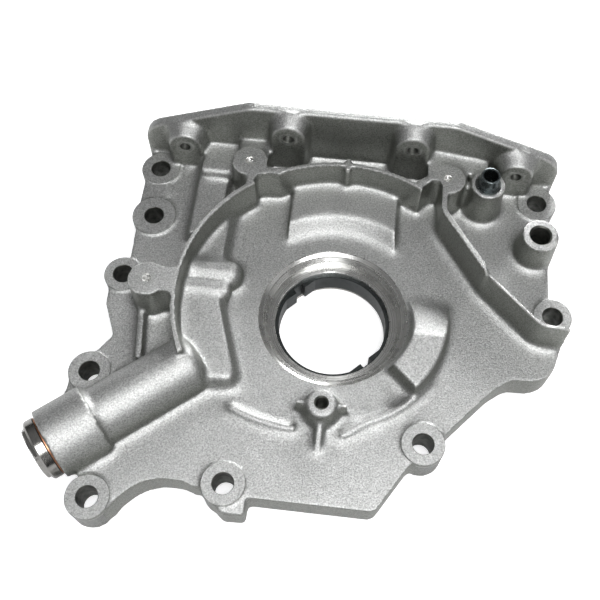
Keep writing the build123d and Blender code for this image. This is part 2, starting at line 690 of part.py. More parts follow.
def sleeve():
    base = SLEEVE_BOSS_TOP - SLEEVE_DEPTH
    ring = disc(SLEEVE_R, SLEEVE_BOSS_AT) - disc(SLEEVE_BORE_R, SLEEVE_BOSS_AT)
    tube = stand(ring, base, SLEEVE_BOSS_TOP + SLEEVE_RISE)
    rim = tube.faces().sort_by(Axis.Z)[-1].edges().sort_by(SortBy.RADIUS)[-1]
    return chamfer(rim, 0.5)


# Relief valve pieces

def relief_piston():
    nose = PISTON_SEAT - 0.02
    radius = PISTON_R - PISTON_GAP
    piston = valve_disc(radius, nose - PISTON_LENGTH, nose)
    piston = chamfer(piston.edges().filter_by(GeomType.CIRCLE), 0.6)
    return piston - valve_disc(radius - PISTON_WALL, nose - PISTON_LENGTH - 1, nose - PISTON_HEAD)


def spring_span():
    """Distances along the axis of the spring's two ends."""
    return (TUBE_MOUTH + PLUG_THREAD_LENGTH - PLUG_POCKET_DEEP + SPRING_GAP,
            PISTON_SEAT - PISTON_HEAD - SPRING_GAP)


def relief_spring():
    """Wire wound into a helix, with six flats round it in place of a circle to keep its facets few."""
    start, end = spring_span()
    coil_r = PISTON_R - PISTON_GAP - PISTON_WALL - SPRING_WIRE_R - 0.2
    length = end - start - 2 * SPRING_WIRE_R
    coil = Helix(pitch=length / SPRING_TURNS, height=length, radius=coil_r)
    wire = Plane(origin=coil @ 0, z_dir=coil % 0) * RegularPolygon(SPRING_WIRE_R, 6)
    spring = sweep(wire, path=coil, is_frenet=True)
    return plane_along(TUBE_AZ, TUBE_OFFSET, TUBE_Z, start + SPRING_WIRE_R) * spring


def relief_plug():
    collar_in = TUBE_MOUTH - WASHER_T
    collar_out = collar_in - PLUG_COLLAR_T
    shank_end = TUBE_MOUTH + PLUG_THREAD_LENGTH
    plug = valve_disc(PLUG_COLLAR_R, collar_out, collar_in)
    plug = chamfer(plug.edges().filter_by(GeomType.CIRCLE).sort_by(Axis.X)[0], 0.6)
    plug += valve_disc(PLUG_THREAD_R, collar_in - 1, shank_end)
    hexagon = plane_along(TUBE_AZ, TUBE_OFFSET, TUBE_Z, collar_out - PLUG_HEX_T) * RegularPolygon(
        PLUG_HEX / 2, 6, major_radius=False)
    plug += extrude(hexagon, PLUG_HEX_T + 1)
    pocket_r = PISTON_R - PISTON_GAP - PISTON_WALL
    return plug - valve_disc(pocket_r, shank_end - PLUG_POCKET_DEEP, shank_end + 1)


def plug_washer():
    ring = valve_disc(PLUG_COLLAR_R - 0.2, TUBE_MOUTH - WASHER_T, TUBE_MOUTH)
    return ring - valve_disc(PLUG_THREAD_R + 0.15, TUBE_MOUTH - WASHER_T - 1, TUBE_MOUTH + 1)


PIECES = {
    "pump_housing": housing,
    "inner_rotor": inner_rotor,
    "outer_rotor": outer_rotor,
    "rotor_cover": rotor_cover,
    "cover_screws": cover_screws,
    "pipe_sleeve": sleeve,
    "relief_piston": relief_piston,
    "relief_spring": relief_spring,
    "relief_plug": relief_plug,
    "plug_washer": plug_washer,
}


def main():
    os.makedirs("parts", exist_ok=True)
    for name, make in PIECES.items():
        export_step(make(), f"parts/{name}.step")


main()
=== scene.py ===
import json
from math import pi

import bmesh
import bpy
import numpy as np
from bpy.props import FloatProperty, FloatVectorProperty, IntProperty, PointerProperty
from mathutils import Matrix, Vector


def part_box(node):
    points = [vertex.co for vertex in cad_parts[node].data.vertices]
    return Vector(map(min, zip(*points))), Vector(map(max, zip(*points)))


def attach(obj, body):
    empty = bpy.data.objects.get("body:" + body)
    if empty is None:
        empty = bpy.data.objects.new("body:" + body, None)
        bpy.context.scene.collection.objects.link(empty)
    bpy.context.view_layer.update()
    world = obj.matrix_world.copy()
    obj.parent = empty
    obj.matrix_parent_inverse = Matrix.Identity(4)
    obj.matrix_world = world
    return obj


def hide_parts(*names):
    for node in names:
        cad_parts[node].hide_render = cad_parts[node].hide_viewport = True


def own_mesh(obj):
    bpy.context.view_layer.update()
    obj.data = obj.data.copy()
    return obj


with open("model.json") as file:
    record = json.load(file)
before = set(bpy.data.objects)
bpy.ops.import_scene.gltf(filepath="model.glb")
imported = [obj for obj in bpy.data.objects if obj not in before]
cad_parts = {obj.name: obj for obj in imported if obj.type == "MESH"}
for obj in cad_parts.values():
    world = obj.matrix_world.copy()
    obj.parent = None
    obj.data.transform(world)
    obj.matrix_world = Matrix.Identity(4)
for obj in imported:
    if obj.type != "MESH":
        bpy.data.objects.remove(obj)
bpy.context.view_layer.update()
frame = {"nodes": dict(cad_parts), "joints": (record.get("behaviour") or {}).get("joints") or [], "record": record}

bl_info = {
    "name": "Engine oil pump",
    "version": (1, 0, 0),
    "blender": (4, 5, 0),
    "location": "View3D > Sidebar > Oil pump",
    "description": "Dresses a cast gerotor oil pump and its relief valve, with a plain studio stage",
    "category": "Object",
}

MM = 0.001


# Sizes in millimetres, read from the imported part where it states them

def millimetres(place):
    """A place of the record, which is in metres, in millimetres."""
    return tuple(round(c / MM, 6) for c in place)


def mount(name):
    """The place and the sizes of one of the part's mounts."""
    found = next(one for one in frame["record"]["mounts"] if one["name"] == name)
    return millimetres(found["pos_m"]), found["dims"]


def pair(name):
    """The two places of a pattern of two holes that are level with each other."""
    (_, y, z), dims = mount(name)
    half = dims["spacing_x_mm"] / 2
    return [(-half, y, z), (half, y, z)]


def joint(name):
    """The record of one of the part's joints."""
    return next(one for one in frame["joints"] if one["name"] == name)


def heights(node):
    """The lowest and the highest level of a node, to a hundredth."""
    return [round(corner[2] / MM, 2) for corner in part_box(node)]


# Levels of the casting: its floor, the spot faces, the top of the wall, the face under the cover
FLOOR_Z, FACE_Z, WALL_TOP_Z = 16.0, 17.0, 36.0
COVER_FACE_Z = heights("pump_housing")[0]
REST_Z = heights("rotor_cover")[0]

# Bolt holes, each with the radius of its spot face
BOLT_HOLE_R = mount("corner_bolt")[1]["r_mm"]
RING_R, SIDE_RING_R, SPOT_RING_R = 9.4, 8.8, 10.5
BOLTS = {at[:2]: RING_R for at in pair("top_bolts")}
BOLTS |= {at[:2]: SIDE_RING_R for at in pair("side_bolts")}
for one in ("corner_bolt", "lower_bolt", "lower_right_bolt", "left_bolt"):
    BOLTS[mount(one)[0][:2]] = RING_R
BOLTS[mount("spot_faced_bolt")[0][:2]] = SPOT_RING_R
BACK_CHAMFER, EDGE_BREAK = 1.1, 0.25

# Sump flange with its four taps, as (x, z) from left to right
SUMP_TAPS = sorted((x, z) for x, _, z in pair("sump_inner_bolts") + pair("sump_outer_bolts"))
SUMP_TAP_R = mount("sump_inner_bolts")[1]["hole_r_mm"]
SUMP_BOSS_R, SUMP_FACE_Y, TAP_CHAMFER = 8.0, 75.5, 0.9
FLANGE_BACK_Y = mount("sump_face")[0][1]

# Pads on the wall's top with their drill marks, the sleeve, the feed hole and the sensor's tap
PADS = [(-46.6, 67.7), (47.0, 67.7), (-82.9, -0.3)]
MARK_R, MARK_DEPTH = 2.0, 1.8
SLEEVE_AT, SLEEVE_BORE_R = mount("sleeve_bore")[0][:2], mount("sleeve_bore")[1]["r_mm"]
SLEEVE_R, SLEEVE_TOP = 4.5, 36.0
SLEEVE_BASE, SLEEVE_END = heights("pipe_sleeve")
FEED_AT, FEED_R, FEED_TOP = mount("feed_bore")[0][:2], mount("feed_bore")[1]["r_mm"], 32.0
SENSOR_AT, SENSOR_R, SENSOR_TOP = mount("sensor_tap")[0][:2], mount("sensor_tap")[1]["r_mm"], 27.0

# Seal bore, with its steps as (how much wider than the seat, level), the web under it and the pump chamber
SEAL_R, SEAL_SEAT_Z, SEAL_LEAD_R = mount("seal_bore")[1]["r_mm"], mount("seal_bore")[0][2], 34.0
SEAL_STEPS = [(0, 12.2), (0.5, 12.6), (0.5, 13.2), (1.6, 14.2), (1.9, 14.2), (2.1, 14.7)]
WEB_R = 26.5
CHAMBER_AT, CHAMBER_R, CHAMBER_Z = millimetres(joint("outer_spin")["pos_m"])[:2], 45.1, 7.0

# Relief valve: its axis, and distances along it from the point nearest to the crankshaft
VALVE_AZ = np.radians(39.5)
VALVE_OFFSET, VALVE_Z = 13.8, 19.0
VALVE_MOUTH, VALVE_STEP, VALVE_SEAT, VALVE_END = -134.0, -119.0, -72.0, -66.0
PLUG_R, PISTON_R, SEAT_R, MOUTH_FACE_R = 11.05, 8.5, 6.2, 18.0
PLUG_OUT, COLLAR_OUT, COLLAR_IN, THREAD_END = -141.2, -139.3, -134.8, -120.0
THREAD_R, THREAD_DEPTH, POCKET_R, POCKET_END = 11.0, 0.75, 6.86, -129.0
SPRING_FROM, SPRING_TO, SPRING_R = -128.75, -77.25, 5.76

# Places where the mould is rounder than elsewhere, as (x, y, z, reach), and the flange's crisp crest
SOFT_SPOTS = [(-44.0, -36.0, 20.0, 11.0), (0.0, 52.0, 20.0, 24.0)]
SPOT_ROUNDS = 16
CREST_Y, CREST_Z = 74.0, 38.0
GENTLE_R = 6.0

# The floor, the soft lamps as (name, place in metres, side in metres, share of the lamp's power),
# and the camera that was fitted to the photograph
FLOOR_HALF, FLOOR_ROWS = 1600.0, 9
LAMPS = [
    ("overhead", (0.14, -0.30, 0.90), 0.50, 1.0),
    ("front", (0.15, -0.88, 0.46), 0.25, 0.15),
    ("right", (0.85, -0.10, 0.60), 0.50, 0.06),
    ("back", (0.15, 0.93, 0.33), 0.30, 1.4),
]
CAMERA_AT = (4.358, -169.905, 364.546)
CAMERA_TURN = np.radians(6.5)
CAMERA_TILT = np.radians(27.0)


# Meshes from arrays

def new_piece(name, points, faces, material, body=None, slot=None):
    """Puts arrays of points in millimetres and faces into a mesh, which rides on a body if one is named."""
    mesh = bpy.data.meshes.new(name)
    mesh.from_pydata(np.asarray(points) * MM, [], faces)
    mesh.materials.append(material)
    mesh.polygons.foreach_set("use_smooth", np.ones(len(mesh.polygons), dtype=bool))
    mesh.set_sharp_from_angle(angle=np.radians(32))
    mesh.update()
    piece = bpy.data.objects.new(name, mesh)
    bpy.context.scene.collection.objects.link(piece)
    if body:
        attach(piece, body)
    return piece


def lathe(profile, at=(0, 0, 0), axis=(0, 0, 1), steps=96):
    """Turned form: point = at + height * axis + radius * (cos a * side + sin a * across), with flat ends.

    The profile is rows of (radius, height), and a runs once round for every row."""
    radius, height = np.array(profile, float).T
    axis = np.array(axis, float) / np.linalg.norm(axis)
    side = np.cross((0, 0, 1), axis)
    side = np.array((1.0, 0, 0)) if np.linalg.norm(side) < 0.1 else side / np.linalg.norm(side)
    across = np.cross(axis, side)
    turn = np.linspace(0, 2 * pi, steps, endpoint=False)
    ring = np.cos(turn)[:, None] * side + np.sin(turn)[:, None] * across
    points = np.array(at, float) + height[:, None, None] * axis + radius[:, None, None] * ring
    rows = len(radius)
    low = np.arange((rows - 1) * steps).reshape(rows - 1, steps)
    nxt = np.roll(low, -1, axis=1)
    quads = np.stack([low, nxt, nxt + steps, low + steps], axis=-1).reshape(-1, 4).tolist()
    last = (rows - 1) * steps
    caps = [list(range(steps))[::-1], list(range(last, last + steps))]
    return points.reshape(-1, 3), quads + caps


def turned_ring(profile, at=(0, 0, 0), axis=(0, 0, 1), steps=128):
    """The lathe's form for a closed profile: the last row meets the first, so it has no end faces."""
    points, faces = lathe(profile, at, axis, steps)
    last = len(points) - steps
    around = np.arange(steps)
    after = np.roll(around, -1)
    closing = np.stack([last + around, last + after, after, around], axis=-1).tolist()
    return points, faces[:-2] + closing


def hex_end(flat, low, high, base, along):
    """Hexagon with turned corners: the lathe's form, with radius = min(radius, half flat / cos(a - 30)),
    where a is the angle inside each sixth of the turn, from 0 to 60 degrees."""
    half = flat / 2
    profile = [(half - 1.4, low), (half - 0.3, low), (half + 1.0, low + 0.45), (half + 2.0, low + 0.8),
               (half + 2.0, high)]
    steps = 192
    points, faces = lathe(profile, base, along, steps)
    turn = np.tile(np.linspace(0, 2 * pi, steps, endpoint=False), len(profile))
    limit = half / np.cos(turn % (pi / 3) - pi / 6)
    centre = base + np.repeat(np.array(profile)[:, 1], steps)[:, None] * along
    radius = np.repeat(np.array(profile)[:, 0], steps)
    return centre + (points - centre) * (np.minimum(radius, limit) / radius)[:, None], faces


def thread_rows(start, end, pitch):
    """Rows of (radius, distance) that run over the roots and the narrow flat crests of a thread."""
    crests = np.arange(start + pitch, end - pitch, pitch)
    return [row for c in crests
            for row in ((THREAD_R - THREAD_DEPTH, c - pitch / 2), (THREAD_R, c - 0.1), (THREAD_R, c + 0.1))]


def coil_spring(turns, wire, base, along):
    """Coil with closed end turns: centre = base + s along + R (cos a side + sin a across).

    The distance s grows with the angle a, slowly in the first and the last turn; the wire's skin is
    centre + r (cos b outward + sin b upward), where upward is square to the wire and to outward."""
    around, steps = 14, 70 * turns
    u = np.linspace(0, 1, steps)
    rate = np.clip(np.minimum(u, 1 - u) * turns - 0.75, 0, 0.5) * 2 * 0.78 + 0.22
    s = np.concatenate([[0], np.cumsum((rate[1:] + rate[:-1]) / 2)])
    s = SPRING_FROM + wire + s / s[-1] * (SPRING_TO - SPRING_FROM - 2 * wire)
    side = np.cross((0, 0, 1), along)
    across = np.cross(along, side)
    turn = 2 * pi * turns * u
    outward = np.cos(turn)[:, None] * side + np.sin(turn)[:, None] * across
    centre = base + s[:, None] * along + SPRING_R * outward
    tangent = np.gradient(centre, axis=0)
    upward = np.cross(tangent, outward)
    upward /= np.linalg.norm(upward, axis=1)[:, None]
    ring = np.linspace(0, 2 * pi, around, endpoint=False)[None, :, None]
    points = centre[:, None] + wire * (np.cos(ring) * outward[:, None] + np.sin(ring) * upward[:, None])
    low = np.arange((steps - 1) * around).reshape(steps - 1, around)
    nxt = np.roll(low, -1, axis=1)
    quads = np.stack([low, nxt, nxt + around, low + around], axis=-1).reshape(-1, 4)[:, ::-1].tolist()
    last = (steps - 1) * around
    return points.reshape(-1, 3), quads + [list(range(around)), list(range(last, last + around))[::-1]]


def plug_profile(flat, collar, pitch):
    """Rows of (radius, distance) of the plug, from the collar's outer face to the pocket for the spring."""
    profile = [(POCKET_R - 0.6, POCKET_END), (POCKET_R, POCKET_END + 0.6), (POCKET_R, THREAD_END),
               (THREAD_R - 1.2, THREAD_END), (THREAD_R - 0.4, THREAD_END - 0.8)]
    profile += thread_rows(COLLAR_IN + 0.4, THREAD_END - 0.8, pitch)[::-1]
    profile += [(THREAD_R - 0.8, COLLAR_IN + 1.2), (THREAD_R - 0.8, COLLAR_IN), (collar - 0.3, COLLAR_IN),
                (collar, COLLAR_IN - 0.3), (collar, COLLAR_OUT + 0.8), (collar - 0.8, COLLAR_OUT),
                (flat / 2 - 1.5, COLLAR_OUT)]
    return profile[::-1]


def washer_profile(collar):
    """Closed rows of (radius, distance) of the washer between the collar and the tube's mouth."""
    inner, outer = THREAD_R + 0.15, collar - 0.35
    return [(inner, COLLAR_IN), (collar - 0.6, COLLAR_IN), (outer, COLLAR_IN + 0.25),
            (outer, VALVE_MOUTH - 0.25), (collar - 0.6, VALVE_MOUTH), (inner, VALVE_MOUTH)]


def gather(forms):
    """Several (points, faces) as one."""
    points, faces, start = [], [], 0
    for some, polygons in forms:
        points.append(some)
        faces += [[i + start for i in polygon] for polygon in polygons]
        start += len(some)
    return np.concatenate(points), faces


def valve_frame():
    """The relief valve's axis: a point on it at distance zero, and its direction."""
    along = np.array((np.cos(VALVE_AZ), np.sin(VALVE_AZ), 0.0))
    across = np.array((-np.sin(VALVE_AZ), np.cos(VALVE_AZ), 0.0))
    return across * VALVE_OFFSET + (0, 0, VALVE_Z), along


# Casting

def fillings():
    """Closed forms that fill every machined hole, so that the casting can be softened as one lump."""
    forms = [lathe([(BOLT_HOLE_R + 0.4, 0.1), (BOLT_HOLE_R + 0.4, FACE_Z - 0.1)], (*at, 0)) for at in BOLTS]
    forms += [lathe([(SUMP_TAP_R + 0.4, -FLANGE_BACK_Y + 0.1), (SUMP_TAP_R + 0.4, -SUMP_FACE_Y - 0.1)],
                    (x, 0, z), (0, -1, 0), 48) for x, z in SUMP_TAPS]
    forms.append(lathe([(SLEEVE_R + 0.4, 5), (SLEEVE_R + 2.2, SLEEVE_TOP - 0.1)], (*SLEEVE_AT, 0)))
    forms.append(lathe([(FEED_R + 0.4, 7), (FEED_R + 2.2, FEED_TOP)], (*FEED_AT, 0)))
    forms.append(lathe([(SENSOR_R + 0.4, 11), (SENSOR_R + 0.4, SENSOR_TOP - 0.1)], (*SENSOR_AT, 0)))
    forms += [lathe([(4.2, WALL_TOP_Z - 4), (4.2, WALL_TOP_Z)], (*at, 0), steps=48) for at in PADS]
    forms.append(lathe([(SEAL_LEAD_R + 0.4, CHAMBER_Z + 0.5), (SEAL_LEAD_R + 0.4, FLOOR_Z - 0.1)]))
    forms.append(lathe([(CHAMBER_R + 0.4, COVER_FACE_Z + 0.1), (CHAMBER_R + 0.4, CHAMBER_Z - 0.1)],
                       (*CHAMBER_AT, 0)))
    base, along = valve_frame()
    forms.append(lathe([(PLUG_R + 0.8, VALVE_MOUTH + 0.1), (PLUG_R + 0.4, VALVE_STEP + 0.5),
                        (PISTON_R + 0.4, VALVE_STEP + 1), (PISTON_R + 0.4, VALVE_END - 1)], base, along))
    return forms


def rings():
    """The crisp spot faces round the bolt holes, with rows close together so that each stays evenly lit."""
    return [lathe([(ring, FLOOR_Z - 2), (ring, FLOOR_Z - 1.2), (ring, FACE_Z - 0.7),
                   (ring, FACE_Z - EDGE_BREAK), (ring - EDGE_BREAK, FACE_Z)], (*at, 0))
            for at, ring in BOLTS.items()]


def drills():
    """Closed forms of the plain drilled and tapped holes, whose inner faces take a dark material with painted
    shade.
    """
    hole, tap, spot = BOLT_HOLE_R, SUMP_TAP_R, SUMP_BOSS_R - 1.2
    bolt = [(hole + 2 + BACK_CHAMFER, -2), (hole + BACK_CHAMFER, 0), (hole, BACK_CHAMFER),
            (hole, FACE_Z - EDGE_BREAK), (hole + EDGE_BREAK, FACE_Z), (hole + EDGE_BREAK, FACE_Z + 4)]
    sump = [(tap + TAP_CHAMFER, -FLANGE_BACK_Y - 2), (tap + TAP_CHAMFER, -FLANGE_BACK_Y),
            (tap, -FLANGE_BACK_Y + TAP_CHAMFER), (tap, -SUMP_FACE_Y - 0.2), (tap + 0.3, -SUMP_FACE_Y + 0.1),
            (spot, -SUMP_FACE_Y + 0.1), (spot, -SUMP_FACE_Y + 3)]
    forms = [lathe(bolt, (*at, 0)) for at in BOLTS]
    forms += [lathe(sump, (x, 0, z), (0, -1, 0), 64) for x, z in SUMP_TAPS]
    for at, radius, low, top in ((FEED_AT, FEED_R, 8, FEED_TOP), (SENSOR_AT, SENSOR_R, 12, SENSOR_TOP)):
        forms.append(lathe([(radius, low), (radius, top - 0.7), (radius + 0.7, top),
                            (radius + 0.7, top + 4)], (*at, 0)))
    return forms


def cutters():
    """Closed forms that a mill or a boring bar takes away from the casting."""
    boss = [(SLEEVE_BORE_R, 6), (SLEEVE_BORE_R, SLEEVE_BASE), (SLEEVE_R, SLEEVE_BASE),
            (SLEEVE_R, SLEEVE_TOP - 1.4), (SLEEVE_R + 1.7, SLEEVE_TOP), (SLEEVE_R + 2.7, SLEEVE_TOP),
            (SLEEVE_R + 2.7, SLEEVE_TOP + 3)]
    seal = [(WEB_R, CHAMBER_Z - 3), (WEB_R, SEAL_SEAT_Z - 0.4), (WEB_R + 0.4, SEAL_SEAT_Z),
            (SEAL_R, SEAL_SEAT_Z)]
    seal += [(SEAL_R + wider, level) for wider, level in SEAL_STEPS]
    seal += [(SEAL_LEAD_R - 0.4, FLOOR_Z - 0.4), (SEAL_LEAD_R, FLOOR_Z), (SEAL_LEAD_R, FLOOR_Z + 4)]
    valve = [(MOUTH_FACE_R, VALVE_MOUTH - 6), (MOUTH_FACE_R, VALVE_MOUTH), (PLUG_R + 0.8, VALVE_MOUTH),
             (PLUG_R, VALVE_MOUTH + 0.8), (PLUG_R, VALVE_STEP), (PISTON_R, VALVE_STEP),
             (PISTON_R, VALVE_SEAT), (SEAT_R, VALVE_SEAT), (SEAT_R, VALVE_END)]
    return [lathe(boss, (*SLEEVE_AT, 0)), lathe(seal, steps=192), lathe(valve, *valve_frame(), 128)]


def dimples():
    """Shallow drill marks in the three pads on the wall's top."""
    mark = [(0.2, WALL_TOP_Z - MARK_DEPTH), (MARK_R - 0.2, WALL_TOP_Z - 0.5), (MARK_R, WALL_TOP_Z),
            (MARK_R, WALL_TOP_Z + 3)]
    return [lathe(mark, (*at, 0), steps=64) for at in PADS]


def chamber():
    """The pump chamber, apart from the other cutters because it meets the seal bore."""
    return [lathe([(CHAMBER_R, COVER_FACE_Z - 4), (CHAMBER_R, CHAMBER_Z)], (*CHAMBER_AT, 0), steps=160)]


def shown_mesh(thing):
    """The mesh of an object with its modifiers worked in."""
    graph = bpy.context.evaluated_depsgraph_get()
    return bpy.data.meshes.new_from_object(thing.evaluated_get(graph))


def modified(mesh, kind, **settings):
    """The mesh after one modifier."""
    thing = bpy.data.objects.new("work", mesh)
    bpy.context.scene.collection.objects.link(thing)
    change = thing.modifiers.new("work", kind)
    for key, value in settings.items():
        setattr(change, key, value)
    result = shown_mesh(thing)
    bpy.data.objects.remove(thing)
    return result


def vertex_array(mesh, what):
    """One row for each point of the mesh: its place for "co", its outward normal for "normal"."""
    flat = np.empty(len(mesh.vertices) * 3)
    mesh.vertices.foreach_get(what, flat)
    return flat.reshape(-1, 3)


def edge_array(mesh):
    """The two point numbers of each edge."""
    flat = np.empty(len(mesh.edges) * 2, dtype=np.int32)
    mesh.edges.foreach_get("vertices", flat)
    return flat.reshape(-1, 2)


def pull(points, edges, count):
    """For each point, the mean of its neighbours less the point itself."""
    total = np.zeros_like(points)
    for k in range(3):
        total[:, k] = (np.bincount(edges[:, 0], points[edges[:, 1], k], len(points))
                       + np.bincount(edges[:, 1], points[edges[:, 0], k], len(points)))
    return total / count[:, None] - points


def soften(mesh, edge_rounds, root_rounds):
    """Rounds the outer edges a little and the inner corners a lot, as a sand mould does.

    An edge round adds half of the pull towards the neighbours. A root round adds 0.7 of its part
    along the outward normal, and only where that is positive, so material is added and none goes.
    The flange's crest and the edges of the spot faces get no root rounds."""
    points, edges = vertex_array(mesh, "co"), edge_array(mesh)
    count = np.bincount(edges.ravel(), minlength=len(points)).astype(float)
    for _ in range(edge_rounds):
        points += 0.5 * pull(points, edges, count)
    spots = np.zeros(len(points))
    for *at, reach in SOFT_SPOTS:
        away = np.linalg.norm(points / MM - at, axis=1)
        spots = np.maximum(spots, np.clip(2 * (1 - away / reach), 0, 1))
    for _ in range(SPOT_ROUNDS):
        points += 0.5 * spots[:, None] * pull(points, edges, count)
    back, high = (points[:, 1] / MM - CREST_Y) / 4, (points[:, 2] / MM - CREST_Z) / 5
    free = 1 - np.clip(back, 0, 1) * np.clip(high, 0, 1)
    for (x, y), ring in BOLTS.items():
        away = np.hypot(points[:, 0] / MM - x, points[:, 1] / MM - y)
        level = (points[:, 2] > (FACE_Z - 2.5) * MM) & (points[:, 2] < (FACE_Z + 0.5) * MM)
        free[(away < ring + 2) & level] = 0
    for _ in range(root_rounds):
        mesh.vertices.foreach_set("co", points.ravel())
        mesh.update()
        normals = vertex_array(mesh, "normal")
        outward = np.einsum("ij,ij->i", pull(points, edges, count), normals)
        points += 0.7 * (free * np.maximum(outward, 0))[:, None] * normals
    mesh.vertices.foreach_set("co", points.ravel())
    mesh.update()


def mark_edges(mesh):
    """Writes two attributes: rim, how far each point stands out of its neighbours, 0.5 where it is flat,
    and steep, which is 0 on level faces and 1 on upright ones."""
    points, edges = vertex_array(mesh, "co"), edge_array(mesh)
    count = np.maximum(np.bincount(edges.ravel(), minlength=len(points)), 1).astype(float)
    length = np.linalg.norm(points[edges[:, 0]] - points[edges[:, 1]], axis=1)
    reach = sum(np.bincount(edges[:, end], length, len(points)) for end in (0, 1)) / count
    normals = vertex_array(mesh, "normal")
    out = -np.einsum("ij,ij->i", pull(points, edges, count), normals) / np.maximum(reach, 1e-7)
    gentle = reach / (2 * GENTLE_R * MM)  # what a curve of the gentle radius gives, and a wider one less
    out = np.where(out > 0, np.maximum(out - gentle, 0), np.minimum(out + gentle + 0.06, 0))
    rim = np.stack([out, out, out], axis=1)
    for _ in range(2):
        rim += 0.6 * pull(rim, edges, count)
    rim = rim[:, 0]
    # Convex rims below about 32 mm get a weaker painted highlight in the cast material, down to 0.35 of it.
    rim = np.where(rim > 0, rim * np.clip((points[:, 2] / MM - 20) / 12, 0.35, 1), rim)
    rim[[i for face in mesh.polygons if face.material_index for i in face.vertices]] = 0
    layer = mesh.attributes.new("rim", "FLOAT", "POINT")
    layer.data.foreach_set("value", np.clip(0.5 + 1.6 * rim, 0, 1))
    layer = mesh.attributes.new("steep", "FLOAT", "POINT")
    layer.data.foreach_set("value", np.clip(1.35 - 1.7 * np.abs(normals[:, 2]), 0, 1))


def part_slots(mesh):
    """Makes the edges of cut faces sharp: those that meet the skin, and those that turn by 11 degrees."""
    work = bmesh.new()
    work.from_mesh(mesh)
    for edge in work.edges:
        slots = {face.material_index for face in edge.link_faces}
        if len(slots) > 1 or (slots != {0} and edge.calc_face_angle(0) > 0.2):
            edge.smooth = False
    work.to_mesh(mesh)
    work.free()


def worked(mesh, forms, slot, operation):
    """The mesh after a Boolean with closed forms, whose faces take one material slot."""
    points, faces = gather(forms)
    tools = bpy.data.meshes.new("tools")
    tools.from_pydata(points * MM, [], faces)
    for mat in mesh.materials:
        tools.materials.append(mat)
    tools.polygons.foreach_set("material_index", np.full(len(tools.polygons), slot, dtype=np.int32))
    tools.update()
    tool = bpy.data.objects.new("tools", tools)
    bpy.context.scene.collection.objects.link(tool)
    result = modified(mesh, "BOOLEAN", object=tool, operation=operation, solver="MANIFOLD")
    bpy.data.objects.remove(tool)
    return result


def cast_skin(settings):
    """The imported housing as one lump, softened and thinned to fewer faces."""
    source = frame["nodes"]["pump_housing"].data
    points, faces = gather(fillings())
    fill = bpy.data.meshes.new("fill")
    fill.from_pydata(points * MM, [], faces)
    work = bmesh.new()
    work.from_mesh(source)
    bmesh.ops.remove_doubles(work, verts=work.verts, dist=1e-6)
    work.from_mesh(fill)
    lump = bpy.data.meshes.new("lump")
    work.to_mesh(lump)
    work.free()
    lump = modified(lump, "REMESH", mode="VOXEL", voxel_size=settings.grain)
    soften(lump, settings.edge_rounds, settings.root_rounds)
    triangles = 2 * len(lump.polygons)
    return modified(lump, "DECIMATE", ratio=min(1.0, settings.faces / triangles))


# Finishes

class Nodes:
    """Short hand for building one material's node tree."""

    def __init__(self, name):
        self.mat = bpy.data.materials.new(name)
        self.mat.use_nodes = True
        self.tree = self.mat.node_tree
        self.shader = self.tree.nodes["Principled BSDF"]
        self.place = self.add("ShaderNodeTexCoord").outputs["Object"]

    def add(self, kind, links=None, **values):
        """A new node, with links to its inputs, and values for its inputs or its own settings."""
        node = self.tree.nodes.new(kind)
        for key, value in values.items():
            if key in node.inputs:
                node.inputs[key].default_value = value
            else:
                setattr(node, key, value)
        for key, source in (links or {}).items():
            self.tree.links.new(source, node.inputs[key])
        return node

    def noise(self, scale, detail=3.0, roughness=0.55, where=None):
        """Noise in the object's own space, or in another one."""
        node = self.add("ShaderNodeTexNoise", {"Vector": where or self.place})
        node.inputs["Scale"].default_value = scale
        node.inputs["Detail"].default_value = detail
        node.inputs["Roughness"].default_value = roughness
        return node.outputs["Fac"]

    def stops(self, source, *stops):
        """A ramp through (position, colour) stops."""
        node = self.add("ShaderNodeValToRGB", {"Fac": source})
        ramp = node.color_ramp
        while len(ramp.elements) < len(stops):
            ramp.elements.new(0.5)
        for element, (position, colour) in zip(ramp.elements, stops):
            element.position = position
            element.color = (*colour, 1)
        return node.outputs["Color"]

    def span(self, source, low, high, from_low=0.0, from_high=1.0):
        """The source's range, spread over low to high and held there."""
        node = self.add("ShaderNodeMapRange", {"Value": source})
        node.inputs["From Min"].default_value = from_low
        node.inputs["From Max"].default_value = from_high
        node.inputs["To Min"].default_value = low
        node.inputs["To Max"].default_value = high
        return node.outputs["Result"]

    def math(self, what, a, b):
        """Arithmetic on two values, each a number or a socket."""
        node = self.add("ShaderNodeMath", operation=what)
        for socket, value in zip(node.inputs, (a, b)):
            if isinstance(value, (int, float)):
                socket.default_value = value
            else:
                self.tree.links.new(value, socket)
        return node.outputs[0]

    def mix(self, kind, factor, a, b):
        """Two colours blended; each input is a number, a colour or a socket."""
        node = self.add("ShaderNodeMix", data_type="RGBA", blend_type=kind)
        for socket, value in ((node.inputs["Factor"], factor), (node.inputs[6], a), (node.inputs[7], b)):
            if isinstance(value, (int, float)):
                socket.default_value = value
            elif isinstance(value, tuple):
                socket.default_value = (*value, 1)
            else:
                self.tree.links.new(value, socket)
        return node.outputs[2]

    def bump(self, height, strength, distance):
        """A normal raised by the height, with its distance in metres."""
        node = self.add("ShaderNodeBump", {"Height": height})
        node.inputs["Strength"].default_value = strength
        node.inputs["Distance"].default_value = distance
        return node.outputs["Normal"]

    def finish(self, metallic, colour, roughness, normal=None):
        """Joins the sockets to the shader and returns the material."""
        self.shader.inputs["Metallic"].default_value = metallic
        for key, source in (("Base Color", colour), ("Roughness", roughness), ("Normal", normal)):
            if source is not None:
                self.tree.links.new(source, self.shader.inputs[key])
        return self.mat


def shade(colour, factor):
    """A colour made darker or lighter by a factor."""
    return tuple(c * factor for c in colour)


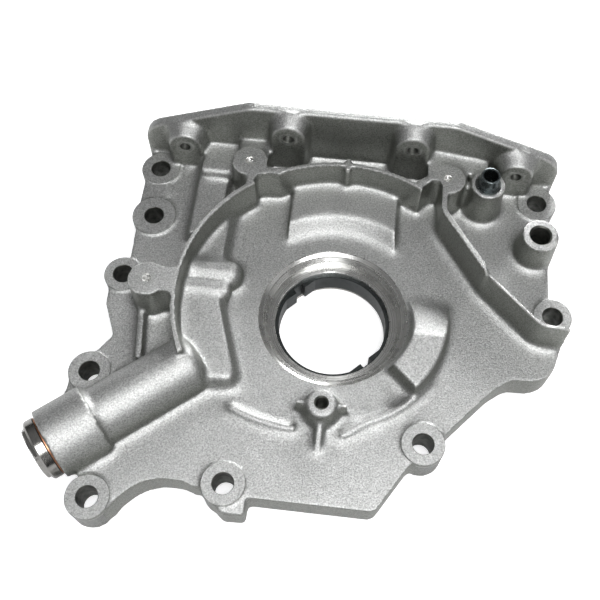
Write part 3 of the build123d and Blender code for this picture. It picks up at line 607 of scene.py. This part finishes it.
def cast_metal(look):
    """Sand-cast aluminium: sand grains, soft mottling, a painted highlight on the rims, painted shade in the
    corners and on the upright walls.
    """
    n = Nodes("sand_cast_aluminium")
    base = tuple(look.cast_colour)
    grain = n.noise(2900, 2.0, 0.7)
    sand = n.noise(1450, 3.0, 0.65)
    cloud = n.noise(110, 4.0, 0.6)
    rim = n.add("ShaderNodeAttribute", attribute_name="rim").outputs["Fac"]
    steep = n.add("ShaderNodeAttribute", attribute_name="steep").outputs["Fac"]
    tone = n.stops(sand, (0.32, shade(base, 0.62)), (0.50, base), (0.68, shade(base, 1.38)))
    patches = n.stops(cloud, (0.30, (0.78, 0.78, 0.77)), (0.70, (1.0, 1.0, 1.0)))
    tone = n.mix("MULTIPLY", 0.30, tone, patches)
    speck = n.span(n.noise(1900, 1.0, 0.5), 0, 0.55, 0.66, 0.74)
    tone = n.mix("MIX", speck, tone, shade(base, 1.7))
    # Painted shade: upright walls are darkened towards an olive grey.
    tone = n.mix("MULTIPLY", n.span(steep, 0, 0.9), tone, (0.48, 0.49, 0.45))
    # Painted shade: concave corners and creases, where rim is low, are darkened.
    tone = n.mix("MULTIPLY", n.span(rim, 0.7, 0, 0.20, 0.47), tone, (0.34, 0.34, 0.33))
    # Painted highlight: convex rims are lightened towards near white; the same mask also makes them smoother.
    painted_rim_highlight = n.span(rim, 0, 1, 0.54, 0.74)
    tone = n.mix("MIX", n.math("MULTIPLY", painted_rim_highlight, 0.85), tone, (0.93, 0.93, 0.91))
    rough = n.math("SUBTRACT", n.span(grain, 0.33, 0.50, 0.3, 0.7), n.math("MULTIPLY", painted_rim_highlight, 0.14))
    height = n.math("ADD", n.math("MULTIPLY", grain, 0.4), sand)
    return n.finish(0.9, tone, rough, n.bump(height, 0.55, 0.00030))


def drilled_metal():
    """Aluminium inside drilled holes: dark with painted shade, with the drill's rings along Z and dull patches."""
    n = Nodes("drilled_aluminium_painted_shade")
    split = n.add("ShaderNodeSeparateXYZ", {"Vector": n.place}).outputs["Z"]
    marks = n.noise(2400, 2.0, 0.6, n.add("ShaderNodeCombineXYZ", {"Z": split}).outputs[0])
    # Painted shade: the dark tone stands in for the shade inside the holes.
    tone = n.stops(n.noise(300, 3.0), (0.3, (0.09, 0.095, 0.085)), (0.7, (0.26, 0.265, 0.245)))
    return n.finish(0.9, tone, n.span(marks, 0.34, 0.5, 0.3, 0.7), n.bump(marks, 0.4, 0.00008))


def machined_metal(name, colour, centre=(0, 0, 0), rings=True):
    """Bright cut metal with fine tool marks round an axis along Z, or plain fine marks."""
    n = Nodes(name)
    where = n.add("ShaderNodeMapping", {"Vector": n.place})
    where.inputs["Location"].default_value = tuple(-c * MM for c in centre)
    if rings:
        split = n.add("ShaderNodeSeparateXYZ", {"Vector": where.outputs["Vector"]})
        flat = n.add("ShaderNodeCombineXYZ", {"X": split.outputs["X"], "Y": split.outputs["Y"]}).outputs[0]
        out = n.add("ShaderNodeVectorMath", {0: flat}, operation="LENGTH").outputs["Value"]
        line = n.add("ShaderNodeCombineXYZ", {"X": out, "Y": split.outputs["Z"]}).outputs[0]
        marks = n.noise(2200, 2.0, 0.7, line)
        round_it = n.add("ShaderNodeVectorMath", {1: flat}, operation="CROSS_PRODUCT")
        round_it.inputs[0].default_value = (0, 0, 1)
        n.tree.links.new(round_it.outputs[0], n.shader.inputs["Tangent"])
        n.shader.inputs["Anisotropic"].default_value = 0.8
        n.shader.inputs["Anisotropic Rotation"].default_value = 0.25
    else:
        marks = n.noise(2600, 3.0, 0.6)
    blot = n.noise(110, 4.0, 0.6)
    tone = n.stops(blot, (0.30, shade(colour, 0.86)), (0.62, colour), (0.85, shade(colour, 1.08)))
    tone = n.mix("MULTIPLY", 0.8, tone, n.stops(marks, (0.35, (0.55, 0.55, 0.54)), (0.60, (1.0, 1.0, 1.0))))
    rough = n.span(blot, 0.22, 0.34, 0.3, 0.7)
    return n.finish(1.0, tone, rough, n.bump(marks, 0.20, 0.00003))


def bright_steel(look):
    """Polished zinc-plated steel: a clean sheen with faint wipes along the turning."""
    n = Nodes("plated_steel")
    base = shade(look.steel_colour, 0.6)
    stretch = n.add("ShaderNodeMapping", {"Vector": n.place})
    stretch.inputs["Rotation"].default_value = (0, 0, -VALVE_AZ)
    stretch.inputs["Scale"].default_value = (1.0, 0.08, 0.08)
    wipes = n.noise(2600, 3.0, 0.6, stretch.outputs["Vector"])
    cloud = n.noise(180, 3.0, 0.5)
    tone = n.stops(cloud, (0.3, shade(base, 0.82)), (0.7, base))
    tone = n.mix("MULTIPLY", 0.5, tone, n.stops(wipes, (0.35, (0.7, 0.7, 0.7)), (0.6, (1.0, 1.0, 1.0))))
    return n.finish(1.0, tone, n.span(wipes, 0.14, 0.24, 0.3, 0.7), n.bump(wipes, 0.15, 0.00003))


def dark_metal(name, colour, low, high, scale=900):
    """Sintered or oiled steel: fine pores, a cloudy sheen with a roughness from low to high."""
    n = Nodes(name)
    pores = n.noise(scale, 4.0, 0.65)
    cloud = n.noise(90, 3.0, 0.5)
    tone = n.stops(cloud, (0.3, shade(colour, 0.7)), (0.7, shade(colour, 1.25)))
    tone = n.mix("MULTIPLY", 0.5, tone, n.stops(pores, (0.35, (0.55, 0.55, 0.55)), (0.55, (1.0, 1.0, 1.0))))
    return n.finish(0.95, tone, n.span(pores, low, high, 0.3, 0.7), n.bump(pores, 0.2, 0.00008))


def copper_metal(look):
    """Soft copper, dulled in patches."""
    n = Nodes("washer_copper")
    base = tuple(look.copper_colour)
    cloud = n.noise(260, 4.0, 0.6)
    tone = n.stops(cloud, (0.32, shade(base, 0.55)), (0.6, base), (0.8, shade(base, 1.2)))
    return n.finish(1.0, tone, n.span(cloud, 0.45, 0.25, 0.3, 0.7), n.bump(n.noise(1800), 0.2, 0.00005))


def dress(node, *materials):
    """Gives a carried-over CAD node its material."""
    mesh = frame["nodes"][node].data
    mesh.materials.clear()
    for mat in materials:
        mesh.materials.append(mat)


# Settings

class PumpCasting(bpy.types.PropertyGroup):
    """How the casting is softened."""
    grain: FloatProperty(name="Grain", description="Size of the cells that the casting is softened on",
                         default=0.0008, min=0.0005, max=0.003, unit="LENGTH")
    edge_rounds: IntProperty(name="Edge rounds", description="Rounds that blunt the outer edges",
                             default=2, min=0)
    root_rounds: IntProperty(name="Root rounds", description="Rounds that fill the inner corners",
                             default=26, min=0)
    faces: IntProperty(name="Faces", description="Triangles left in the casting", default=170000, min=20000)


class PumpValve(bpy.types.PropertyGroup):
    """Sizes of the relief valve's plug and spring."""
    hex_flat: FloatProperty(name="Hexagon", description="Width across the flats of the plug",
                            default=0.022, min=0.016, max=0.026, unit="LENGTH")
    collar_radius: FloatProperty(name="Collar", description="Radius of the plug's collar",
                                 default=0.0137, min=0.013, max=0.016, unit="LENGTH")
    thread_pitch: FloatProperty(name="Thread", description="Pitch of the plug's thread",
                                default=0.0015, min=0.001, max=0.002, unit="LENGTH")
    wire_radius: FloatProperty(name="Wire", description="Radius of the spring's wire",
                               default=0.0009, min=0.0005, max=0.0011, unit="LENGTH")
    spring_turns: IntProperty(name="Turns", description="Turns of the spring", default=8, min=4, max=16)


class PumpLook(bpy.types.PropertyGroup):
    """Colours of the metals."""
    cast_colour: FloatVectorProperty(name="Cast", description="Sand-cast aluminium", subtype="COLOR",
                                     default=(0.485, 0.49, 0.485), min=0, max=1)
    cut_colour: FloatVectorProperty(name="Cut", description="Machined aluminium", subtype="COLOR",
                                    default=(0.78, 0.78, 0.765), min=0, max=1)
    steel_colour: FloatVectorProperty(name="Steel", description="Bright steel", subtype="COLOR",
                                      default=(0.62, 0.61, 0.58), min=0, max=1)
    rotor_colour: FloatVectorProperty(name="Rotor", description="Sintered steel of the rotors",
                                      subtype="COLOR", default=(0.060, 0.066, 0.066), min=0, max=1)
    copper_colour: FloatVectorProperty(name="Copper", description="Sealing washer", subtype="COLOR",
                                       default=(0.72, 0.36, 0.22), min=0, max=1)
    wire_colour: FloatVectorProperty(name="Wire", description="Spring steel", subtype="COLOR",
                                     default=(0.25, 0.25, 0.26), min=0, max=1)
    sleeve_colour: FloatVectorProperty(name="Sleeve", description="Phosphated steel of the sleeve",
                                       subtype="COLOR", default=(0.13, 0.15, 0.155), min=0, max=1)
    screw_colour: FloatVectorProperty(name="Screws", description="Oiled steel of the cover's screws",
                                      subtype="COLOR", default=(0.13, 0.13, 0.14), min=0, max=1)


class PumpStage(bpy.types.PropertyGroup):
    """Studio round the pump."""
    lens: FloatProperty(name="Lens", description="Focal length on a 36 mm sensor",
                        default=51.0, min=20.0, unit="CAMERA")
    lamp: FloatProperty(name="Lamp", description="Power of the large soft lamp",
                        default=7.0, min=0.0, subtype="POWER")
    fill: FloatProperty(name="Fill", description="Brightness of the sky round the stage",
                        default=0.25, min=0.0, subtype="FACTOR")
    floor_colour: FloatVectorProperty(name="Floor", description="Plain floor", subtype="COLOR",
                                      default=(0.86, 0.86, 0.87), min=0, max=1)


# Operators

class PUMP_OT_housing(bpy.types.Operator):
    """Softens the casting and machines its holes and faces"""
    bl_idname = "pump.housing"
    bl_label = "Cast housing"

    def execute(self, context):
        look = context.scene.pump_look
        skin = cast_skin(context.scene.pump_casting)
        skin.materials.clear()
        cast, bored, drilled, marked = range(4)
        colour = tuple(look.cut_colour)
        for finish in (cast_metal(look), machined_metal("bored_aluminium", colour), drilled_metal(),
                       machined_metal("spot_aluminium", colour, rings=False)):
            skin.materials.append(finish)
        skin = worked(skin, rings(), cast, "UNION")
        for forms, slot in ((drills(), drilled), (cutters(), bored), (dimples(), marked), (chamber(), bored)):
            skin = worked(skin, forms, slot, "DIFFERENCE")
        skin.name = "housing_casting"
        skin.polygons.foreach_set("use_smooth", np.ones(len(skin.polygons), dtype=bool))
        mark_edges(skin)
        skin.set_sharp_from_angle(angle=np.radians(40))
        part_slots(skin)
        piece = bpy.data.objects.new("housing_casting", skin)
        context.scene.collection.objects.link(piece)
        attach(piece, "housing")
        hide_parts("pump_housing")
        return {"FINISHED"}


class PUMP_OT_rotors(bpy.types.Operator):
    """Finishes the two rotors in sintered steel"""
    bl_idname = "pump.rotors"
    bl_label = "Rotor set"

    def execute(self, context):
        steel = dark_metal("sintered_steel", context.scene.pump_look.rotor_colour, 0.28, 0.5)
        dress("inner_rotor", steel)
        dress("outer_rotor", steel)
        return {"FINISHED"}


class PUMP_OT_cover(bpy.types.Operator):
    """Finishes the cover plate and its screws"""
    bl_idname = "pump.cover"
    bl_label = "Rotor cover and screws"

    def execute(self, context):
        look = context.scene.pump_look
        dress("rotor_cover", machined_metal("ground_steel", tuple(look.steel_colour), (*CHAMBER_AT, 0)))
        dress("cover_screws", dark_metal("oiled_steel", look.screw_colour, 0.25, 0.45, 1400))
        return {"FINISHED"}


class PUMP_OT_valve(bpy.types.Operator):
    """Makes the relief valve's plug, washer and spring, and finishes its piston"""
    bl_idname = "pump.valve"
    bl_label = "Relief valve"

    def execute(self, context):
        look = context.scene.pump_look
        sizes = context.scene.pump_valve
        base, along = valve_frame()
        dress("relief_piston", machined_metal("ground_steel_piston", tuple(look.steel_colour), rings=False))
        wire = dark_metal("spring_steel", look.wire_colour, 0.25, 0.4, 1400)
        coil = coil_spring(sizes.spring_turns, round(sizes.wire_radius / MM, 4), base, along)
        spring = new_piece("valve_spring", *coil, wire, "housing", "dark_steel")
        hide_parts("relief_spring")
        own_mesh(spring)
        flat, collar, pitch = (round(size / MM, 4)
                               for size in (sizes.hex_flat, sizes.collar_radius, sizes.thread_pitch))
        plug_form = gather([lathe(plug_profile(flat, collar, pitch), base, along, 128),
                            hex_end(flat, PLUG_OUT, COLLAR_OUT + 0.2, base, along)])
        plug = new_piece("plug_body", *plug_form, bright_steel(look), "housing", "machined_steel")
        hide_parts("relief_plug")
        ring = turned_ring(washer_profile(collar), base, along)
        washer = new_piece("washer_ring", *ring, copper_metal(look), "housing", "copper")
        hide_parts("plug_washer")
        return {"FINISHED"}


class PUMP_OT_sleeve(bpy.types.Operator):
    """Turns the hollow sleeve that is pressed into its boss"""
    bl_idname = "pump.sleeve"
    bl_label = "Pipe sleeve"

    def execute(self, context):
        bore, outer, low, high = SLEEVE_BORE_R, SLEEVE_R, SLEEVE_BASE, SLEEVE_END
        pipe = [(bore, low), (outer - 0.3, low), (outer, low + 0.3), (outer, high - 0.5),
                (outer - 0.15, high - 0.15), (outer - 0.5, high), (bore + 0.35, high), (bore, high - 0.35)]
        black = dark_metal("phosphated_steel", context.scene.pump_look.sleeve_colour, 0.20, 0.32, 500)
        sleeve = new_piece("sleeve_tube", *turned_ring(pipe, (*SLEEVE_AT, 0)), black, "housing", "dark_steel")
        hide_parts("pipe_sleeve")
        return {"FINISHED"}


class PUMP_OT_stage(bpy.types.Operator):
    """Adds the floor, the soft lamps, the sky and the camera"""
    bl_idname = "pump.stage"
    bl_label = "Studio stage"

    def execute(self, context):
        settings = context.scene.pump_stage
        new_piece("floor", *flat_floor(), floor_finish(settings))
        for name, at, size, share in LAMPS:
            soft_lamp(name, at, size, settings.lamp * share)
        sky(settings.fill)
        add_camera(settings.lens)
        context.scene.view_settings.view_transform = "Standard"
        return {"FINISHED"}


# Stage

def flat_floor():
    """Flat square floor at the height that the cover rests on: point = (x, y, height)."""
    span = np.linspace(-FLOOR_HALF, FLOOR_HALF, FLOOR_ROWS)
    x, y = np.meshgrid(span, span, indexing="ij")
    points = np.stack([x, y, np.full_like(x, REST_Z)], axis=-1).reshape(-1, 3)
    low = np.arange(FLOOR_ROWS ** 2).reshape(FLOOR_ROWS, FLOOR_ROWS)[:-1, :-1].ravel()
    return points, np.stack([low, low + FLOOR_ROWS, low + FLOOR_ROWS + 1, low + 1], axis=-1).tolist()


def floor_finish(settings):
    """Pale matt floor that the camera and reflections see as white, with the shadow kept."""
    n = Nodes("studio_floor")
    pale = tuple(settings.floor_colour)
    tone = n.stops(n.noise(3.0), (0.4, pale), (0.6, shade(pale, 1.02)))
    n.finish(0.0, tone, n.span(n.noise(40), 0.8, 0.95))
    seen = n.add("ShaderNodeLightPath")
    ray = n.math("MAXIMUM", seen.outputs["Is Camera Ray"], seen.outputs["Is Transmission Ray"])
    away = n.add("ShaderNodeVectorMath", {0: n.place}, operation="LENGTH").outputs["Value"]
    level = n.math("MULTIPLY", ray, n.span(away, 0.62, 1.0, 0.3, 0.8))
    glow = n.add("ShaderNodeEmission", {"Strength": level}, Color=(1, 1, 1, 1))
    both = n.add("ShaderNodeAddShader")
    n.tree.links.new(n.shader.outputs[0], both.inputs[0])
    n.tree.links.new(glow.outputs[0], both.inputs[1])
    n.tree.links.new(both.outputs[0], n.tree.nodes["Material Output"].inputs["Surface"])
    return n.mat


def soft_lamp(name, at, size, power):
    """Square lamp that looks at the pump."""
    data = bpy.data.lights.new(name, "AREA")
    data.shape = "SQUARE"
    data.size = size
    data.energy = power
    lamp = bpy.data.objects.new(name, data)
    back = np.array(at) / np.linalg.norm(at)
    side = np.cross((0, 0, 1), back)
    side /= np.linalg.norm(side)
    lamp.matrix_world = Matrix(np.vstack([np.column_stack([side, np.cross(back, side), back, at]),
                                          (0, 0, 0, 1)]).tolist())
    bpy.context.scene.collection.objects.link(lamp)


def sky(strength):
    """White to the camera; for the object a sky that is bright overhead and grey at the horizon."""
    world = bpy.data.worlds.new("studio")
    world.use_nodes = True
    bpy.context.scene.world = world
    tree = world.node_tree
    add = tree.nodes.new
    ground = tree.nodes["Background"]
    place = add("ShaderNodeTexCoord")
    split = add("ShaderNodeSeparateXYZ")
    tree.links.new(place.outputs["Generated"], split.inputs[0])
    ramp = add("ShaderNodeValToRGB")
    tree.links.new(split.outputs["Z"], ramp.inputs["Fac"])
    ramp.color_ramp.elements[0].position = 0.0
    ramp.color_ramp.elements[0].color = (0.10, 0.10, 0.095, 1)
    ramp.color_ramp.elements[1].position = 0.75
    ramp.color_ramp.elements[1].color = (1, 1, 1, 1)
    tree.links.new(ramp.outputs["Color"], ground.inputs["Color"])
    ground.inputs["Strength"].default_value = strength
    white = add("ShaderNodeBackground")
    white.inputs["Color"].default_value = (1, 1, 1, 1)
    white.inputs["Strength"].default_value = 1.0
    seen = add("ShaderNodeLightPath")
    either = add("ShaderNodeMixShader")
    tree.links.new(seen.outputs["Is Camera Ray"], either.inputs["Fac"])
    tree.links.new(ground.outputs[0], either.inputs[1])
    tree.links.new(white.outputs[0], either.inputs[2])
    tree.links.new(either.outputs[0], tree.nodes["World Output"].inputs["Surface"])


def add_camera(lens):
    """Camera at the photograph's angle: tilted off the crank's axis, turned a little about it."""
    data = bpy.data.cameras.new("camera")
    data.lens = lens
    data.sensor_width = 36.0
    data.clip_start = 0.01
    camera = bpy.data.objects.new("camera", data)
    turn = Matrix.Rotation(CAMERA_TURN, 4, "Z") @ Matrix.Rotation(CAMERA_TILT, 4, "X")
    camera.matrix_world = Matrix.Translation([c * MM for c in CAMERA_AT]) @ turn
    bpy.context.scene.collection.objects.link(camera)
    bpy.context.scene.camera = camera


class PUMP_PT_panel(bpy.types.Panel):
    """Lists the pump's settings and steps"""
    bl_label = "Oil pump"
    bl_idname = "PUMP_PT_panel"
    bl_space_type = "VIEW_3D"
    bl_region_type = "UI"
    bl_category = "Oil pump"

    def draw(self, context):
        for name in GROUPS:
            group = getattr(context.scene, name)
            box = self.layout.box()
            for key in group.bl_rna.properties.keys():
                if key not in ("rna_type", "name"):
                    box.prop(group, key)
        for step in STEPS:
            self.layout.operator(step.bl_idname)


STEPS = (PUMP_OT_housing, PUMP_OT_rotors, PUMP_OT_cover, PUMP_OT_valve, PUMP_OT_sleeve, PUMP_OT_stage)
GROUPS = {"pump_casting": PumpCasting, "pump_valve": PumpValve, "pump_look": PumpLook,
          "pump_stage": PumpStage}


def register():
    """Registers the settings, the operators and the panel."""
    for group in GROUPS.values():
        bpy.utils.register_class(group)
    for step in STEPS + (PUMP_PT_panel,):
        bpy.utils.register_class(step)
    for key, group in GROUPS.items():
        setattr(bpy.types.Scene, key, PointerProperty(type=group))


def unregister():
    """Takes away what register added."""
    for key in GROUPS:
        delattr(bpy.types.Scene, key)
    for item in (PUMP_PT_panel, *reversed(STEPS), *GROUPS.values()):
        bpy.utils.unregister_class(item)


def main():
    """Registers the add-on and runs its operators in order."""
    register()
    bpy.ops.pump.housing()
    bpy.ops.pump.rotors()
    bpy.ops.pump.cover()
    bpy.ops.pump.valve()
    bpy.ops.pump.sleeve()
    bpy.ops.pump.stage()


if __name__ == "__main__":
    main()
